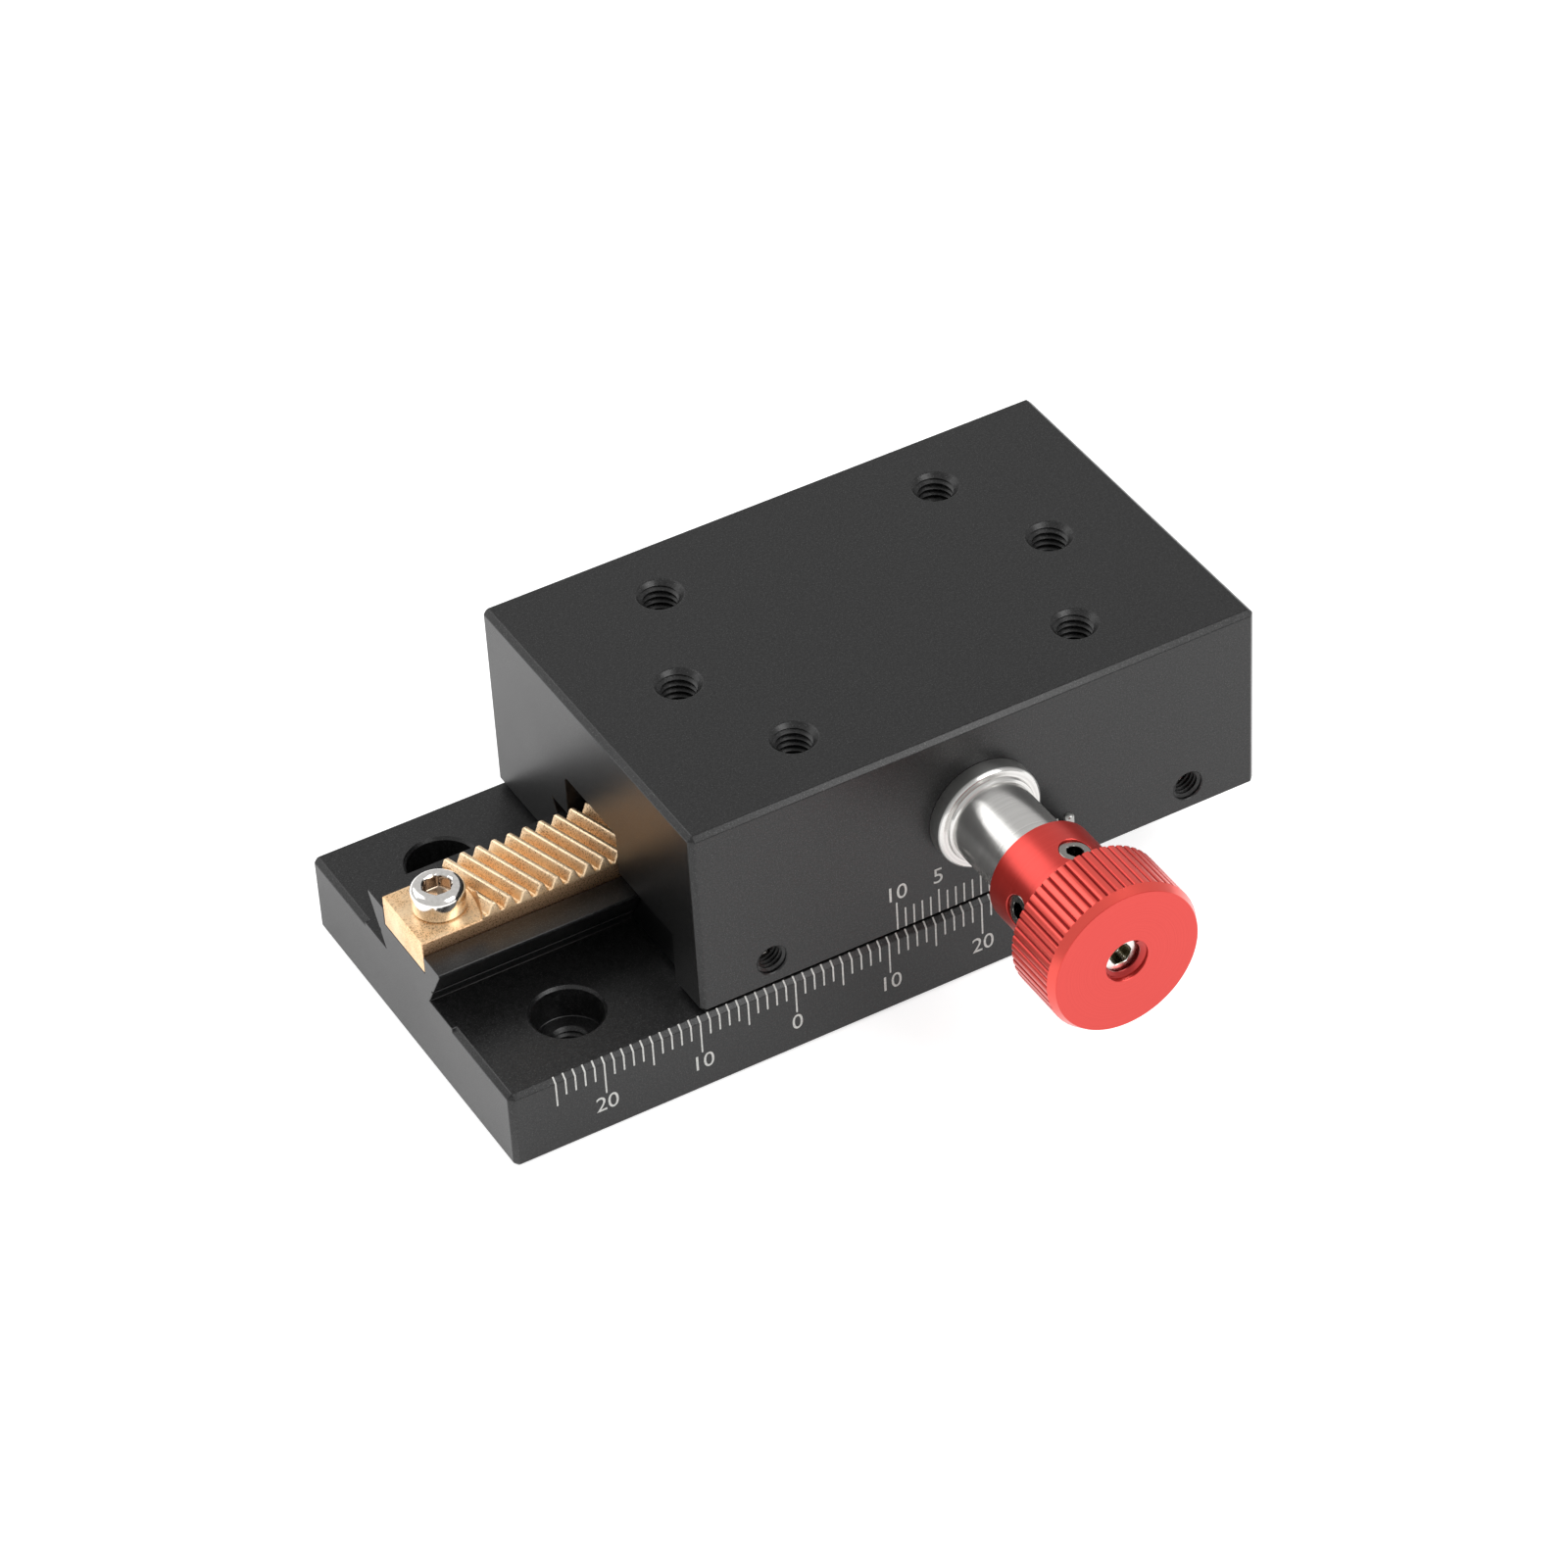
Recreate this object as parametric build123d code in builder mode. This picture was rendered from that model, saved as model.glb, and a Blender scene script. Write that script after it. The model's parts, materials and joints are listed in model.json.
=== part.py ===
from build123d import *
import os
from math import acos, atan, cos, degrees, pi, radians, sin, tan

os.makedirs("parts", exist_ok=True)

# A manual dovetail slide driven by a rack and pinion, in millimetres.
# X is the travel, +Y is the back and Z is up. The origin is the centre of the base's underside.

# Overall sizes
body_length = 60.0
body_width = 40.0
overall_height = 30.0
edge_chamfer = 0.5

# Clearances
thread_clearance = 0.05  # round a screw in its tapped hole
bolt_clearance = 0.1  # round a screw in a plain hole
seat_clearance = 0.02  # round a sleeve that is fixed in its bore
running_clearance = 0.03  # round a turning journal
slide_clearance = 0.05  # square to a sliding face
end_play = 0.05  # along the shaft, and in front of a screw's point
rack_side_clearance = 0.05

# Base and rail
base_thickness = 8.8
rail_height = 5.2
rail_top_width = 14.3
rail_top_land = 0.3  # height of the upright land over each flank
flank_angle = 60.0
foot_margin = 4.5  # stretch beside the rail where the end edges stay sharp
flank_line_height = 1.75  # of the scribed line on each flank, over the base
flank_line_size = 0.2
rack_seat_depth = 2.0
base_hole_spacing_x = 40.0
base_hole_spacing_y = 25.0
base_hole_diameter = 3.4
counterbore_diameter = 6.8
counterbore_depth = 3.6

# Rack and pinion teeth
tooth_module = 0.5  # square to the teeth
pressure_angle = 20.0
helix_angle = 17.3
dedendum_factor = 1.25
pinion_teeth = 13
profile_shift = 0.2
flank_backlash = 0.04
pinion_width = 8.8
rack_width = 8.0
rack_height = 4.9
rack_phase = 0.22  # shift of the tooth pattern along X
pad_drop = 1.45  # from the tooth tips to the screw pad
pad_arc_radius = 10.0
pad_arc_crown = 7.1  # from the rack's end to the crown of the pad's arc

# Rack screws
rack_screw_inset = 3.9
rack_screw_diameter = 3.0
rack_screw_reach = 10.0
rack_screw_head_diameter = 5.2
rack_screw_head_height = 2.6
rack_screw_chamfer = 0.45
rack_screw_socket = 2.5
rack_screw_socket_depth = 1.5
screw_to_shaft = 6.1  # between a rack screw and the shaft at the end of the travel

# Table
table_gap = 0.3  # between the base's top and the table's underside
land_drop = 0.25  # bearing lands below the table's underside
land_edge = 11.5  # outer edge of the rear land, from the middle
front_land_width = 2.5
land_end_setback = 2.0  # from the table's ends
channel_ceiling_over_rail = 5.9
channel_corner = 0.5
dovetail_ceiling_over_rail = 1.3
front_wall = 5.0
bore_end = 12.5  # depth of the blind bore behind the middle
top_hole_spacing_x = 30.0
top_hole_spacing_y = 25.0
top_line_spacing = 40.0
top_thread_diameter = 3.3
top_sink_diameter = 4.65
top_hole_depth = 8.0
side_hole_height = 12.2
side_hole_inset = 7.5  # from the table's ends
top_sink_angle = 90.0

# Gib and its screws
gib_end_setback = 1.0  # from the table's ends
gib_lift = 0.6  # over the base
gib_top_gap = 0.4
gib_wall_gap = 0.1
gib_screw_diameter = 3.0
gib_screw_length = 3.0
gib_screw_socket = 1.5

# Shaft, bushes and washers
front_journal_diameter = 5.0
rear_journal_diameter = 4.0
bush_diameter = 8.5
flange_diameter = 11.0
flange_thickness = 1.8
nose_length = 8.5
flange_chamfer = 0.3
washer_diameter = 7.4
washer_thickness = 0.4
spring_thickness = 0.15
spring_height = 0.35
rear_bush_length = 5.8
bush_screw_diameter = 3.0
bush_screw_length = 5.0
bush_screw_setback = 2.5  # behind the table's front face

# Knob
knob_gap = 0.2
collar_diameter = 11.0
collar_length = 7.7
head_diameter = 15.8
head_length = 6.8
face_chamfer = 0.45
flute_count = 54
flute_depth = 0.18
flute_width = 0.38
knob_bore_depth = 9.5
end_screw_diameter = 4.0
end_screw_length = 3.9
end_screw_socket = 2.0
mouth_diameter = 4.4
mouth_depth = 0.6
knob_screw_diameter = 3.0
knob_screw_socket = 1.5
knob_screw_place = 4.4  # from the collar's end
knob_screw_inset = 0.25
knob_screw_angles = (79.5, 169.5)

# Lock screw and its cross bar
lock_offset = 8.0  # from the table's middle
lock_diameter = 3.0
lock_head_diameter = 4.4
lock_head_length = 3.4
lock_head_gap = 0.6
lock_bar_diameter = 1.0
lock_bar_length = 10.0
lock_bar_hole_clearance = 0.04

# Shared by the small screws
set_screw_socket_depth = 1.5

# Levels and places that follow from the sizes. The table is shown at the end of its travel.
shown_travel = body_length / 2 - rack_screw_inset - screw_to_shaft
rail_top = base_thickness + rail_height
flank_top = rail_top - rail_top_land
rack_seat = rail_top - rack_seat_depth
rack_tip = rack_seat + rack_height
pad_level = rack_tip - pad_drop
pitch_line = rack_tip - tooth_module
helix = radians(helix_angle)
transverse_pitch = pi * tooth_module / cos(helix)
transverse_angle = atan(tan(radians(pressure_angle)) / cos(helix))
pitch_radius = pinion_teeth * transverse_pitch / (2 * pi)
base_radius = pitch_radius * cos(transverse_angle)
tip_radius = pitch_radius + tooth_module * (1 + profile_shift)
root_radius = pitch_radius - tooth_module * (dedendum_factor - profile_shift)
shaft_height = pitch_line + pitch_radius + profile_shift * tooth_module
table_bottom = base_thickness + table_gap
channel_ceiling = rail_top + channel_ceiling_over_rail
dovetail_ceiling = rail_top + dovetail_ceiling_over_rail
pinion_side = pinion_width / 2
washer_start = pinion_side + end_play
washer_end = washer_start + washer_thickness
channel_half = washer_end + end_play
front_face_y = -body_width / 2
wall_back_y = front_face_y + front_wall
bush_screw_y = front_face_y + bush_screw_setback
side_hole_places = [sign * (body_length / 2 - side_hole_inset) for sign in (-1, 1)]
nose_end = body_width / 2 + flange_thickness + nose_length
collar_start = nose_end + knob_gap
head_start = collar_start + collar_length
knob_face = head_start + head_length
shaft_end = collar_start + knob_bore_depth - end_play
rear_bush_start = channel_half + spring_height + end_play

# The shaft's section plane: local x runs forward from the middle plane, local y is the radius.
shaft_section = Plane(origin=(shown_travel, 0, shaft_height), x_dir=(0, -1, 0), z_dir=(-1, 0, 0))
shaft_axis = Axis((shown_travel, 0, shaft_height), (0, -1, 0))
# Planes square to the shaft, with local x along the travel and local y up.
across_shaft = Plane(origin=(shown_travel, 0, shaft_height), x_dir=(1, 0, 0), z_dir=(0, -1, 0))
table_front = Plane(origin=(shown_travel, front_face_y, 0), x_dir=(1, 0, 0), z_dir=(0, -1, 0))
table_top = Plane.XY.offset(overall_height).shift_origin((shown_travel, 0, overall_height))


def rail_half_width(height):
    """Half width of the rail's flanks, carried on in a straight line above and below the rail."""
    return rail_top_width / 2 - (flank_top - height) / tan(radians(flank_angle))


def at_side_hole(plane, x):
    """Place on a plane parallel to the table's front, on the side holes' line, x from the middle."""
    return plane.location * Location((x, side_hole_height, 0))


def set_screw(mouth, diameter, length, socket):
    """A headless socket screw whose outer end lies on the mouth plane and that runs in behind it."""
    with BuildPart() as screw:
        with BuildSketch(mouth):
            Circle(diameter / 2)
        extrude(amount=-length)
        with BuildSketch(mouth):
            RegularPolygon(socket / 2, 6, major_radius=False)
        extrude(amount=-min(set_screw_socket_depth, length / 2), mode=Mode.SUBTRACT)
    return screw.part


def rack_screw(x):
    """A socket head screw that stands on the rack's pad at x."""
    seat = Plane((x, 0, pad_level))
    with BuildPart() as screw:
        with BuildSketch(seat):
            Circle(rack_screw_head_diameter / 2)
        extrude(amount=rack_screw_head_height)
        chamfer(screw.edges().sort_by(Axis.Z)[-1], rack_screw_chamfer)
        with BuildSketch(seat):
            Circle(rack_screw_diameter / 2)
        extrude(amount=-rack_screw_reach)
        with BuildSketch(seat.offset(rack_screw_head_height)):
            RegularPolygon(rack_screw_socket / 2, 6, major_radius=False)
        extrude(amount=-rack_screw_socket_depth, mode=Mode.SUBTRACT)
    return screw.part


def washer(start):
    """A flat thrust washer on the shaft, from a distance in front of the middle plane."""
    bore = rear_journal_diameter if start < 0 else front_journal_diameter
    with BuildPart() as ring:
        with BuildSketch(across_shaft.offset(start)):
            Circle(washer_diameter / 2)
            Circle(bore / 2 + running_clearance, mode=Mode.SUBTRACT)
        extrude(amount=washer_thickness)
    return ring.part


# Base with its rail
rack_screw_places = [sign * (body_length / 2 - rack_screw_inset) for sign in (-1, 1)]
line_low = base_thickness + flank_line_height - flank_line_size / 2
line_high = line_low + flank_line_size
rail_half = [
    (rail_half_width(base_thickness) + foot_margin, base_thickness / 2),
    (rail_half_width(base_thickness) + foot_margin, base_thickness),
    (rail_half_width(base_thickness), base_thickness),
    (rail_half_width(line_low), line_low),
    (rail_half_width(line_low) - flank_line_size, line_low),
    (rail_half_width(line_high) - flank_line_size, line_high),
    (rail_half_width(line_high), line_high),
    (rail_top_width / 2, flank_top),
    (rail_top_width / 2, rail_top),
    (rack_width / 2 + rack_side_clearance, rail_top),
    (rack_width / 2 + rack_side_clearance, rack_seat),
]
with BuildPart() as base:
    Box(body_length, body_width, base_thickness, align=(Align.CENTER, Align.CENTER, Align.MIN))
    chamfer(base.edges(), edge_chamfer)
    with BuildSketch(Plane.YZ.offset(-body_length / 2)):
        with BuildLine():
            Polyline(*rail_half, *[(-y, z) for y, z in reversed(rail_half)], close=True)
        make_face()
    extrude(amount=body_length)
    with Locations(Plane.XY.offset(base_thickness)):
        with GridLocations(base_hole_spacing_x, base_hole_spacing_y, 2, 2):
            CounterBoreHole(
                radius=base_hole_diameter / 2,
                counter_bore_radius=counterbore_diameter / 2,
                counter_bore_depth=counterbore_depth,
                depth=base_thickness,
            )
    with BuildSketch(Plane.XY.offset(rack_seat)):
        with Locations(*[(x, 0) for x in rack_screw_places]):
            Circle(rack_screw_diameter / 2 + thread_clearance)
    extrude(amount=-(rack_screw_reach - (pad_level - rack_seat) + 2 * end_play), mode=Mode.SUBTRACT)
base.part.label = "base"
export_step(base.part, "parts/base.step")

# Rack: straight teeth are swept askew across the bar, then the ends are squared and the pads milled
tooth_crest = transverse_pitch / 4 - tooth_module * tan(transverse_angle)
tooth_root = transverse_pitch / 4 + dedendum_factor * tooth_module * tan(transverse_angle)
root_level = pitch_line - dedendum_factor * tooth_module
front_lead = rack_width / 2 * tan(helix)  # the teeth's front ends stand this far towards +X
pad_arc_centre = body_length / 2 - pad_arc_crown + pad_arc_radius
first_gap = rack_phase - transverse_pitch * (int(body_length / 2 / transverse_pitch) + 2)
tooth_line = [(first_gap + front_lead, rack_seat)]
for tooth in range(2 * int(body_length / 2 / transverse_pitch) + 4):
    middle = first_gap + front_lead + (tooth + 0.5) * transverse_pitch
    tooth_line += [
        (middle - tooth_root, root_level),
        (middle - tooth_crest, rack_tip),
        (middle + tooth_crest, rack_tip),
        (middle + tooth_root, root_level),
    ]
tooth_line.append((tooth_line[-1][0], rack_seat))
rack_front = Plane(origin=(0, -rack_width / 2, 0), x_dir=(1, 0, 0), z_dir=(0, -1, 0))
with BuildPart() as rack:
    with BuildSketch(rack_front):
        with BuildLine():
            Polyline(*tooth_line, close=True)
        make_face()
    extrude(amount=rack_width / cos(helix), dir=(-sin(helix), cos(helix), 0))
    with BuildSketch(Plane.XY.offset(rack_seat)):
        Rectangle(body_length, rack_width)
    extrude(amount=rack_height, mode=Mode.INTERSECT)
    with BuildSketch(Plane.XY.offset(pad_level)):
        with Locations(*[(sign * pad_arc_centre, 0) for sign in (-1, 1)]):
            Circle(pad_arc_radius)
    extrude(amount=pad_drop, mode=Mode.SUBTRACT)
    with BuildSketch(Plane.XY.offset(pad_level)):
        with Locations(*[(x, 0) for x in rack_screw_places]):
            Circle(rack_screw_diameter / 2 + bolt_clearance)
    extrude(amount=-(pad_level - rack_seat), mode=Mode.SUBTRACT)
rack.part.label = "rack"
export_step(rack.part, "parts/rack.step")

for name, x in zip(("rack_screw_left", "rack_screw_right"), rack_screw_places):
    screw = rack_screw(x)
    screw.label = name
    export_step(screw, f"parts/{name}.step")

# Table with its dovetail channel, bore and screw holes
back_gap = slide_clearance / sin(radians(flank_angle))
land_length = body_length - 2 * land_end_setback
cut_bottom = base_thickness - table_gap
side_hole_radius = gib_screw_diameter / 2 + thread_clearance
with BuildPart() as table:
    with BuildSketch(Plane((shown_travel, 0, table_bottom))):
        Rectangle(body_length, body_width)
    extrude(amount=overall_height - table_bottom)
    chamfer(table.edges(), edge_chamfer)
    with BuildSketch(Plane((shown_travel, 0, table_bottom))):
        with Locations((0, land_edge / 2)):
            Rectangle(land_length, land_edge)
        with Locations((0, wall_back_y - front_land_width / 2)):
            Rectangle(land_length, front_land_width)
    extrude(amount=-land_drop)
    with BuildSketch(Plane.YZ.offset(shown_travel - body_length / 2)) as channel:
        with BuildLine():
            Polyline(
                (wall_back_y, cut_bottom),
                (wall_back_y, dovetail_ceiling),
                (-channel_half, dovetail_ceiling),
                (-channel_half, channel_ceiling),
                (channel_half, channel_ceiling),
                (channel_half, dovetail_ceiling),
                (rail_half_width(dovetail_ceiling) + back_gap, dovetail_ceiling),
                (rail_half_width(cut_bottom) + back_gap, cut_bottom),
                close=True,
            )
        make_face()
        fillet(channel.vertices().sort_by(Axis.Y)[-2:], channel_corner)
    extrude(amount=body_length, mode=Mode.SUBTRACT)
    with BuildSketch(table_front):
        with Locations((0, shaft_height)):
            Circle(bush_diameter / 2 + seat_clearance)
    extrude(amount=-(body_width / 2 + bore_end), mode=Mode.SUBTRACT)
    with Locations(*[at_side_hole(table_front, x) for x in (*side_hole_places, lock_offset)]):
        Hole(side_hole_radius, front_wall)
    with Locations(table_top):
        with GridLocations(top_hole_spacing_x, top_hole_spacing_y, 2, 2):
            CounterSinkHole(top_thread_diameter / 2, top_sink_diameter / 2, top_hole_depth, top_sink_angle)
    with Locations(table_top):
        with GridLocations(top_line_spacing, 0, 2, 1):
            CounterSinkHole(top_thread_diameter / 2, top_sink_diameter / 2, top_hole_depth, top_sink_angle)
    with BuildSketch(Plane((shown_travel, bush_screw_y, table_bottom - land_drop))):
        Circle(bush_screw_diameter / 2 + thread_clearance)
    extrude(amount=shaft_height - bush_diameter / 4 - table_bottom + land_drop, mode=Mode.SUBTRACT)
table.part.label = "table"
export_step(table.part, "parts/table.step")

# Gib: a bar in the front pocket, with a flank parallel to the rail's
gib_bottom = base_thickness + gib_lift
gib_top = dovetail_ceiling - gib_top_gap
gib_front_y = wall_back_y + gib_wall_gap
with BuildPart() as gib:
    with BuildSketch(Plane.YZ.offset(shown_travel - body_length / 2 + gib_end_setback)):
        with BuildLine():
            Polyline(
                (gib_front_y, gib_bottom),
                (gib_front_y, gib_top),
                (-rail_half_width(gib_top) - back_gap, gib_top),
                (-rail_half_width(gib_bottom) - back_gap, gib_bottom),
                close=True,
            )
        make_face()
    extrude(amount=body_length - 2 * gib_end_setback)
gib.part.label = "gib"
export_step(gib.part, "parts/gib.step")

gib_screw_mouth = table_front.offset(-(front_wall + gib_wall_gap - end_play - gib_screw_length))
for name, x in zip(("gib_screw_left", "gib_screw_right"), side_hole_places):
    mouth = Plane(at_side_hole(gib_screw_mouth, x))
    screw = set_screw(mouth, gib_screw_diameter, gib_screw_length, gib_screw_socket)
    screw.label = name
    export_step(screw, f"parts/{name}.step")

# Pinion cut on its shaft: one involute section, twisted along the shaft by the helix
half_tooth = (pi / 2 + 2 * profile_shift * tan(radians(pressure_angle))) / pinion_teeth
half_tooth -= flank_backlash / pitch_radius
tooth_step = 2 * pi / pinion_teeth


def involute(angle):
    return tan(angle) - angle


def flank_turn(radius):
    """Angle from the middle of a tooth to its flank at a radius."""
    return half_tooth + involute(transverse_angle) - involute(acos(base_radius / radius))


def polar(radius, angle):
    return radius * cos(angle), radius * sin(angle)


# A tooth stands in the rack's gap nearest the shaft. The section is the one at the pinion's rear end.
nearest_gap = rack_phase + transverse_pitch * round((shown_travel - rack_phase) / transverse_pitch)
bottom_turn = -pi / 2 + (nearest_gap - shown_travel) / pitch_radius
pinion_twist = pinion_width * tan(helix) / pitch_radius
flank_radii = [pitch_radius, tip_radius]  # where the chords of a flank meet the involute
foot = flank_turn(base_radius)
with BuildSketch() as pinion_section:
    with BuildLine():
        for tooth in range(pinion_teeth):
            middle = tooth * tooth_step + bottom_turn - pinion_twist / 2
            Polyline(
                polar(root_radius, middle - foot),
                *[polar(radius, middle - flank_turn(radius)) for radius in flank_radii],
                *[polar(radius, middle + flank_turn(radius)) for radius in reversed(flank_radii)],
                polar(root_radius, middle + foot),
                polar(root_radius, middle + tooth_step - foot),
            )
    make_face()
teeth = Solid.extrude_linear_with_rotation(
    pinion_section.sketch.face(), (0, 0, 0), (0, 0, pinion_width), degrees(pinion_twist)
)
with BuildPart() as pinion_shaft:
    add(across_shaft.offset(-pinion_side).location * teeth)
    with BuildSketch(shaft_section):
        with BuildLine():
            Polyline(
                (pinion_side, 0),
                (pinion_side, front_journal_diameter / 2),
                (shaft_end, front_journal_diameter / 2),
                (shaft_end, 0),
                close=True,
            )
        make_face()
    revolve(axis=shaft_axis)
    with BuildSketch(across_shaft.offset(-pinion_side)):
        Circle(rear_journal_diameter / 2)
    extrude(amount=-(rear_bush_start + rear_bush_length - pinion_side))
pinion_shaft.part.label = "pinion_shaft"
export_step(pinion_shaft.part, "parts/pinion_shaft.step")

# Thrust washers and the disc spring that takes up the end play
for name, start in (("front_thrust_washer", washer_start), ("rear_thrust_washer", -washer_end)):
    ring = washer(start)
    ring.label = name
    export_step(ring, f"parts/{name}.step")

spring_bore = rear_journal_diameter / 2 + running_clearance
with BuildPart() as disc_spring:
    with BuildSketch(shaft_section):
        with BuildLine():
            Polyline(
                (-channel_half, spring_bore),
                (-channel_half - spring_thickness, spring_bore),
                (-channel_half - spring_height, washer_diameter / 2),
                (-channel_half - spring_height + spring_thickness, washer_diameter / 2),
                close=True,
            )
        make_face()
    revolve(axis=shaft_axis)
disc_spring.part.label = "disc_spring"
export_step(disc_spring.part, "parts/disc_spring.step")

# Flanged front bush: its body fills the table's bore and its nose carries the shaft out to the knob
flange_start = body_width / 2
flange_end = flange_start + flange_thickness
bush_bore = front_journal_diameter / 2 + running_clearance
with BuildPart() as pinion_bush:
    with BuildSketch(shaft_section):
        with BuildLine():
            Polyline(
                (channel_half, bush_bore),
                (channel_half, bush_diameter / 2),
                (flange_start, bush_diameter / 2),
                (flange_start, flange_diameter / 2),
                (flange_end - flange_chamfer, flange_diameter / 2),
                (flange_end, flange_diameter / 2 - flange_chamfer),
                (flange_end, bush_diameter / 2),
                (nose_end, bush_diameter / 2),
                (nose_end, bush_bore),
                close=True,
            )
        make_face()
    revolve(axis=shaft_axis)
pinion_bush.part.label = "pinion_bush"
export_step(pinion_bush.part, "parts/pinion_bush.step")

with BuildPart() as rear_bush:
    with BuildSketch(across_shaft.offset(-rear_bush_start)):
        Circle(bush_diameter / 2)
        Circle(rear_journal_diameter / 2 + running_clearance, mode=Mode.SUBTRACT)
    extrude(amount=-rear_bush_length)
rear_bush.part.label = "rear_bush"
export_step(rear_bush.part, "parts/rear_bush.step")

bush_screw_tip = shaft_height - bush_diameter / 2 - end_play
bush_screw_mouth = Plane(
    origin=(shown_travel, bush_screw_y, bush_screw_tip - bush_screw_length), z_dir=(0, 0, -1)
)
bush_lock_screw = set_screw(bush_screw_mouth, bush_screw_diameter, bush_screw_length, gib_screw_socket)
bush_lock_screw.label = "bush_lock_screw"
export_step(bush_lock_screw, "parts/bush_lock_screw.step")

# Knob: a turned blank, straight flutes cut round the head, and three tapped holes
knob_bore = front_journal_diameter / 2 + seat_clearance
end_thread = end_screw_diameter / 2 + thread_clearance
head_radius = head_diameter / 2
with BuildPart() as knob:
    with BuildSketch(shaft_section):
        with BuildLine():
            Polyline(
                (collar_start, knob_bore),
                (collar_start, collar_diameter / 2),
                (head_start, collar_diameter / 2),
                (head_start, head_radius),
                (knob_face - 2 * face_chamfer, head_radius),
                (knob_face, head_radius - face_chamfer),
                (knob_face, mouth_diameter / 2),
                (knob_face - mouth_depth, mouth_diameter / 2),
                (knob_face - mouth_depth, end_thread),
                (collar_start + knob_bore_depth, end_thread),
                (collar_start + knob_bore_depth, knob_bore),
                close=True,
            )
        make_face()
    revolve(axis=shaft_axis)
    with BuildSketch(across_shaft.offset(head_start)):
        with PolarLocations(head_radius, flute_count):
            Polygon((-flute_depth, 0), (flute_depth, -flute_width), (flute_depth, flute_width), align=None)
    extrude(amount=head_length - 2 * face_chamfer, mode=Mode.SUBTRACT)
    for angle in knob_screw_angles:
        direction = Vector(cos(radians(angle)), 0, sin(radians(angle)))
        place = Vector(shown_travel, -(collar_start + knob_screw_place), shaft_height)
        with BuildSketch(Plane(origin=place, z_dir=direction)):
            Circle(knob_screw_diameter / 2 + thread_clearance)
        extrude(amount=collar_diameter, mode=Mode.SUBTRACT)
knob.part.label = "knob"
export_step(knob.part, "parts/knob.step")

knob_screw_length = collar_diameter / 2 - knob_screw_inset - front_journal_diameter / 2 - end_play
for name, angle in zip(("knob_set_screw_top", "knob_set_screw_side"), knob_screw_angles):
    direction = Vector(cos(radians(angle)), 0, sin(radians(angle)))
    place = Vector(shown_travel, -(collar_start + knob_screw_place), shaft_height)
    mouth = Plane(origin=place + direction * (collar_diameter / 2 - knob_screw_inset), z_dir=direction)
    screw = set_screw(mouth, knob_screw_diameter, knob_screw_length, knob_screw_socket)
    screw.label = name
    export_step(screw, f"parts/{name}.step")

end_screw_mouth = across_shaft.offset(shaft_end + end_play + end_screw_length)
knob_end_screw = set_screw(end_screw_mouth, end_screw_diameter, end_screw_length, end_screw_socket)
knob_end_screw.label = "knob_end_screw"
export_step(knob_end_screw, "parts/knob_end_screw.step")

# Lock screw, whose point presses the gib, and the bar through its head
lock_point = front_wall + gib_wall_gap - end_play
lock_plane = Plane(at_side_hole(table_front, lock_offset))
bar_centre = lock_plane.offset(lock_head_gap + lock_head_length / 2).origin
with BuildPart() as lock_screw:
    with BuildSketch(lock_plane.offset(-lock_point)):
        Circle(lock_diameter / 2)
    extrude(amount=lock_point + lock_head_gap)
    with BuildSketch(lock_plane.offset(lock_head_gap)):
        Circle(lock_head_diameter / 2)
    extrude(amount=lock_head_length)
    with BuildSketch(Plane(bar_centre)):
        Circle(lock_bar_diameter / 2 + lock_bar_hole_clearance)
    extrude(amount=lock_head_diameter, both=True, mode=Mode.SUBTRACT)
lock_screw.part.label = "lock_screw"
export_step(lock_screw.part, "parts/lock_screw.step")

with BuildPart() as lock_bar:
    with BuildSketch(Plane(bar_centre)):
        Circle(lock_bar_diameter / 2)
    extrude(amount=lock_bar_length / 2, both=True)
lock_bar.part.label = "lock_bar"
export_step(lock_bar.part, "parts/lock_bar.step")
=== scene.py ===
import json
from math import cos, pi, radians, sin, tan

import bmesh
import bpy
from mathutils import Matrix, Vector

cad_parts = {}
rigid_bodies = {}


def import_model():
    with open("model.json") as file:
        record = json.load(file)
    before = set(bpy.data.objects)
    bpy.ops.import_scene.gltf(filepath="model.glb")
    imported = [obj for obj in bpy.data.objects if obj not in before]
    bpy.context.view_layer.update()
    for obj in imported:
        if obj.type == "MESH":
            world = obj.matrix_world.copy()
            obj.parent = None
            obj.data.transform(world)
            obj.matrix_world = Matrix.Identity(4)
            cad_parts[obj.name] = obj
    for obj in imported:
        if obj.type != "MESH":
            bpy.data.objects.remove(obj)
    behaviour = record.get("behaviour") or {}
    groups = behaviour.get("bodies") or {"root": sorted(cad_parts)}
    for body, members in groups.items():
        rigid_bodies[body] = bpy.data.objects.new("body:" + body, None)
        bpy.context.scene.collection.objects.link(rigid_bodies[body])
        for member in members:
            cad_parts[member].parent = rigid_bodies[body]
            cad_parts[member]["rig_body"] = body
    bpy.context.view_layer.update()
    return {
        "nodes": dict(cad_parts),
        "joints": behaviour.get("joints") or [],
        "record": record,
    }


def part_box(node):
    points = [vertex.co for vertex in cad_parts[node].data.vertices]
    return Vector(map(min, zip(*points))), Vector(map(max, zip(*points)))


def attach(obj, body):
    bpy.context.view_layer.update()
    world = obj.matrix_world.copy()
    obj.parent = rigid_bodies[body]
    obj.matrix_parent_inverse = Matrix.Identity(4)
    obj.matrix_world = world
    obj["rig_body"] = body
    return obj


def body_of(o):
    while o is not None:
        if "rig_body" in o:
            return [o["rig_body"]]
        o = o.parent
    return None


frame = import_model()

# A dovetail slide: its finishes, threads, edge breaks, scale and vernier, and the studio around it.
# Lengths are in millimetres times MM, in the frame's axes: X is the travel, +Y the back, Z up.
MM = 0.001
up, down = Vector((0, 0, 1)), Vector((0, 0, -1))
inward = Vector((0, 1, 0))  # from the front face into the piece, and along the shaft


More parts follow.
